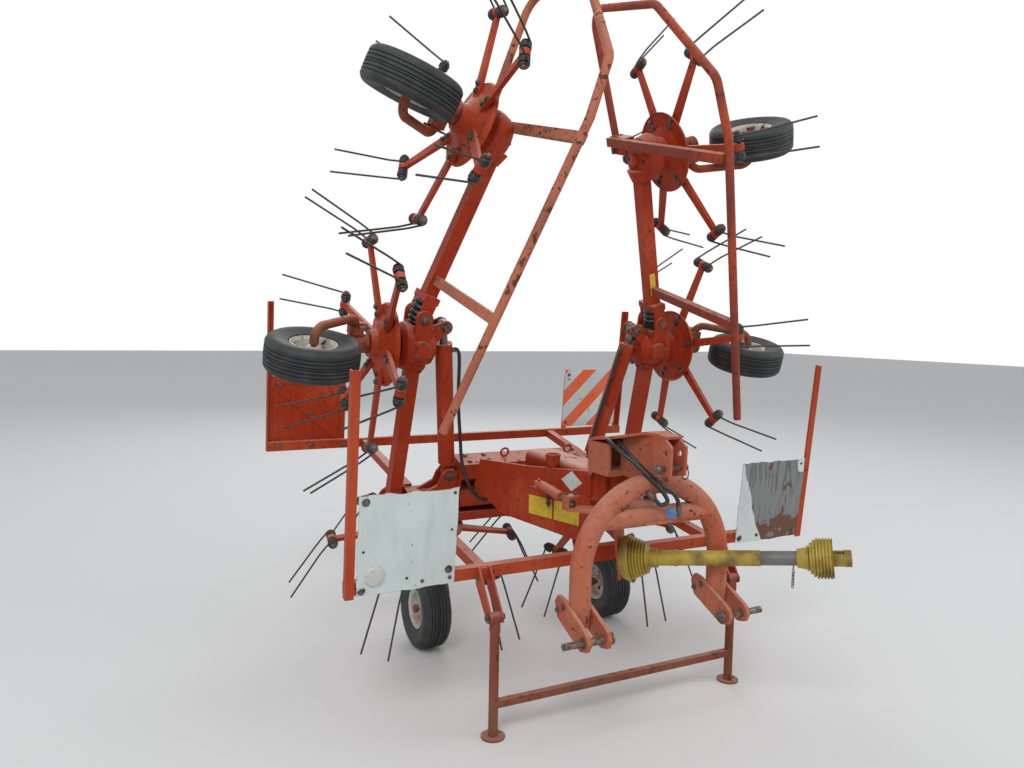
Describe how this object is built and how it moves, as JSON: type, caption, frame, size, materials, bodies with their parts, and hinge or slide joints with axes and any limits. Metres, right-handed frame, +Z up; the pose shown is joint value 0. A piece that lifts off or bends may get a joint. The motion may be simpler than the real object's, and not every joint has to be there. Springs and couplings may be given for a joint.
{
  "type": "mounted hay tedder",
  "caption": "Mounted rotary hay tedder, parked with both wings folded up on a parking stand and its centre wheels.",
  "frame": {"origin": "on the ground under the middle of the parked machine", "axes": "+Z up, -Y to the front where the tractor couples, +X to the left wing as the driver sees it"},
  "size_m": [2.874, 2.5378, 3.3534],
  "materials": {
    "red_paint": "worn",
    "faded_paint": "faded and worn",
    "steel": "worn",
    "tine_steel": "dark spring steel",
    "tyre": "dusty",
    "white_board": "chipped",
    "striped_board": "striped",
    "shield_yellow": "dirty",
    "shield_grey": "dirty"
  },
  "bodies": {
    "frame": {"centre_frame": "red_paint", "nose_frame": "red_paint", "centre_gearboxes": "red_paint", "front_rail": "red_paint", "front_boards": "white_board", "rear_rail": "red_paint", "rear_boards": "striped_board", "centre_wheel_legs": "faded_paint"},
    "stand": {"stand": "faded_paint"},
    "headstock": {"arch": "faded_paint", "swivel_head": "faded_paint", "link_pins": "steel", "drive_guard": "shield_yellow", "drive_tube": "shield_grey"},
    "drive_yoke": {"drive_yoke": "steel"},
    "inner_wing_r": {"inner_beam_r": "red_paint", "inner_gearbox_r": "red_paint", "inner_wheel_leg_r": "faded_paint"},
    "outer_wing_r": {"outer_beam_r": "red_paint", "outer_gearbox_r": "red_paint", "outer_wheel_leg_r": "faded_paint", "wing_guard_r": "faded_paint"},
    "cylinder_barrel_r": {"cylinder_barrel_r": "red_paint"},
    "cylinder_rod_r": {"cylinder_rod_r": "steel"},
    "damper_barrel_r": {"damper_barrel_r": "faded_paint"},
    "damper_rod_r": {"damper_rod_r": "steel"},
    "inner_wing_l": {"inner_beam_l": "red_paint", "inner_gearbox_l": "red_paint", "inner_wheel_leg_l": "faded_paint"},
    "outer_wing_l": {"outer_beam_l": "red_paint", "outer_gearbox_l": "red_paint", "outer_wheel_leg_l": "faded_paint", "wing_guard_l": "faded_paint"},
    "cylinder_barrel_l": {"cylinder_barrel_l": "red_paint"},
    "cylinder_rod_l": {"cylinder_rod_l": "steel"},
    "damper_barrel_l": {"damper_barrel_l": "faded_paint"},
    "damper_rod_l": {"damper_rod_l": "steel"},
    "rotor_1": {"rotor_1": "red_paint", "tines_1": "tine_steel"},
    "wheel_1": {"wheel_1": "tyre"},
    "rotor_2": {"rotor_2": "red_paint", "tines_2": "tine_steel"},
    "wheel_2": {"wheel_2": "tyre"},
    "rotor_3": {"rotor_3": "red_paint", "tines_3": "tine_steel"},
    "wheel_3": {"wheel_3": "tyre"},
    "rotor_4": {"rotor_4": "red_paint", "tines_4": "tine_steel"},
    "wheel_4": {"wheel_4": "tyre"},
    "rotor_5": {"rotor_5": "red_paint", "tines_5": "tine_steel"},
    "wheel_5": {"wheel_5": "tyre"},
    "rotor_6": {"rotor_6": "red_paint", "tines_6": "tine_steel"},
    "wheel_6": {"wheel_6": "tyre"}
  },
  "joints": [
    {"name": "headstock_swivel", "type": "hinge", "parent": "frame", "child": "headstock", "pos_m": [0, -0.525, 0.97], "axis": [0, 0, 1], "range_deg": [-10, 10]},
    {"name": "stand_fold", "type": "hinge", "parent": "frame", "child": "stand", "pos_m": [0, -0.585, 0.505], "axis": [1, 0, 0], "range_deg": [0, 90]},
    {"name": "inner_fold_r", "type": "hinge", "parent": "frame", "child": "inner_wing_r", "pos_m": [0.725, 0.45, 0.775], "axis": [0, 0.9613, 0.2756], "range_deg": [0, 96]},
    {"name": "outer_fold_r", "type": "hinge", "parent": "inner_wing_r", "child": "outer_wing_r", "pos_m": [0.69027, 0.17591, 1.73087], "axis": [0, 0.9613, 0.2756], "range_deg": [0, 21]},
    {"name": "cylinder_swing_r", "type": "hinge", "parent": "frame", "child": "cylinder_barrel_r", "pos_m": [0.44, 0.41141, 0.90958], "axis": [0, 0.9613, 0.2756], "range_deg": [0, 85.5]},
    {"name": "cylinder_stroke_r", "type": "slide", "parent": "cylinder_barrel_r", "child": "cylinder_rod_r", "axis": [0.1474, -0.2726, 0.9508], "range_m": [0, 0.432]},
    {"name": "damper_swing_r", "type": "hinge", "parent": "frame", "child": "damper_barrel_r", "pos_m": [0.225, -0.2, 0.955], "axis": [0, 0, 1], "range_deg": [-3.4, 3.4]},
    {"name": "damper_stroke_r", "type": "slide", "parent": "damper_barrel_r", "child": "damper_rod_r", "axis": [-0.0744, -0.9861, -0.1488], "range_m": [-0.036, 0.036]},
    {"name": "inner_fold_l", "type": "hinge", "parent": "frame", "child": "inner_wing_l", "pos_m": [-0.725, 0.45, 0.775], "axis": [0, -0.9613, -0.2756], "range_deg": [0, 96]},
    {"name": "outer_fold_l", "type": "hinge", "parent": "inner_wing_l", "child": "outer_wing_l", "pos_m": [-0.69027, 0.17591, 1.73087], "axis": [0, -0.9613, -0.2756], "range_deg": [0, 21]},
    {"name": "cylinder_swing_l", "type": "hinge", "parent": "frame", "child": "cylinder_barrel_l", "pos_m": [-0.44, 0.41141, 0.90958], "axis": [0, -0.9613, -0.2756], "range_deg": [0, 85.5]},
    {"name": "cylinder_stroke_l", "type": "slide", "parent": "cylinder_barrel_l", "child": "cylinder_rod_l", "axis": [-0.1474, -0.2726, 0.9508], "range_m": [0, 0.432]},
    {"name": "damper_swing_l", "type": "hinge", "parent": "frame", "child": "damper_barrel_l", "pos_m": [-0.225, -0.2, 0.955], "axis": [0, 0, 1], "range_deg": [-3.4, 3.4]},
    {"name": "damper_stroke_l", "type": "slide", "parent": "damper_barrel_l", "child": "damper_rod_l", "axis": [0.0744, -0.9861, -0.1488], "range_m": [-0.036, 0.036]},
    {"name": "rotor_1_spin", "type": "hinge", "parent": "outer_wing_l", "child": "rotor_1", "pos_m": [-0.58881, -0.07464, 2.60465], "axis": [0.9455, 0.0897, -0.313], "continuous": true},
    {"name": "wheel_1_roll", "type": "hinge", "parent": "outer_wing_l", "child": "wheel_1", "pos_m": [-0.90615, -0.29701, 2.65456], "axis": [0.3256, -0.2606, 0.9089], "continuous": true},
    {"name": "rotor_2_spin", "type": "hinge", "parent": "inner_wing_l", "child": "rotor_2", "pos_m": [-0.89548, 0.21599, 1.59108], "axis": [0.9994, 0.0096, -0.0335], "continuous": true},
    {"name": "wheel_2_roll", "type": "hinge", "parent": "inner_wing_l", "child": "wheel_2", "pos_m": [-1.23089, 0.02051, 1.54721], "axis": [0.0349, -0.2755, 0.9607], "continuous": true},
    {"name": "rotor_3_spin", "type": "hinge", "parent": "frame", "child": "rotor_3", "pos_m": [-0.5225, 0.50513, 0.58275], "axis": [0, -0.2756, 0.9613], "continuous": true},
    {"name": "wheel_3_roll", "type": "hinge", "parent": "frame", "child": "wheel_3", "pos_m": [-0.5525, 0.40538, 0.205], "axis": [-1, 0, 0], "continuous": true},
    {"name": "rotor_4_spin", "type": "hinge", "parent": "frame", "child": "rotor_4", "pos_m": [0.5225, 0.50513, 0.58275], "axis": [0, -0.2756, 0.9613], "continuous": true},
    {"name": "wheel_4_roll", "type": "hinge", "parent": "frame", "child": "wheel_4", "pos_m": [0.5525, 0.40538, 0.205], "axis": [1, 0, 0], "continuous": true},
    {"name": "rotor_5_spin", "type": "hinge", "parent": "inner_wing_r", "child": "rotor_5", "pos_m": [0.89548, 0.21599, 1.59108], "axis": [-0.9994, 0.0096, -0.0335], "continuous": true},
    {"name": "wheel_5_roll", "type": "hinge", "parent": "inner_wing_r", "child": "wheel_5", "pos_m": [1.23089, 0.02051, 1.54721], "axis": [-0.0349, -0.2755, 0.9607], "continuous": true},
    {"name": "rotor_6_spin", "type": "hinge", "parent": "outer_wing_r", "child": "rotor_6", "pos_m": [0.58881, -0.07464, 2.60465], "axis": [-0.9455, 0.0897, -0.313], "continuous": true},
    {"name": "wheel_6_roll", "type": "hinge", "parent": "outer_wing_r", "child": "wheel_6", "pos_m": [0.90615, -0.29701, 2.65456], "axis": [-0.3256, -0.2606, 0.9089], "continuous": true},
    {"name": "drive_spin", "type": "hinge", "parent": "headstock", "child": "drive_yoke", "pos_m": [0.55041, -1.13629, 0.763], "axis": [0.6641, -0.7376, 0.1219], "continuous": true}
  ],
  "couplings": [
    {"joint": "cylinder_swing_r", "follows": "inner_fold_r", "ratio": 0.88502},
    {"joint": "cylinder_stroke_r", "follows": "inner_fold_r", "m_per_rad": 0.25689},
    {"joint": "damper_swing_r", "follows": "headstock_swivel", "ratio": -0.29364},
    {"joint": "damper_stroke_r", "follows": "headstock_swivel", "m_per_rad": -0.19556},
    {"joint": "cylinder_swing_l", "follows": "inner_fold_l", "ratio": 0.88502},
    {"joint": "cylinder_stroke_l", "follows": "inner_fold_l", "m_per_rad": 0.25689},
    {"joint": "damper_swing_l", "follows": "headstock_swivel", "ratio": -0.29364},
    {"joint": "damper_stroke_l", "follows": "headstock_swivel", "m_per_rad": 0.19556},
    {"joint": "rotor_1_spin", "follows": "rotor_3_spin", "ratio": 1},
    {"joint": "rotor_2_spin", "follows": "rotor_3_spin", "ratio": -1},
    {"joint": "rotor_4_spin", "follows": "rotor_3_spin", "ratio": -1},
    {"joint": "rotor_5_spin", "follows": "rotor_3_spin", "ratio": 1},
    {"joint": "rotor_6_spin", "follows": "rotor_3_spin", "ratio": -1},
    {"joint": "drive_spin", "follows": "rotor_3_spin", "ratio": 3}
  ]
}
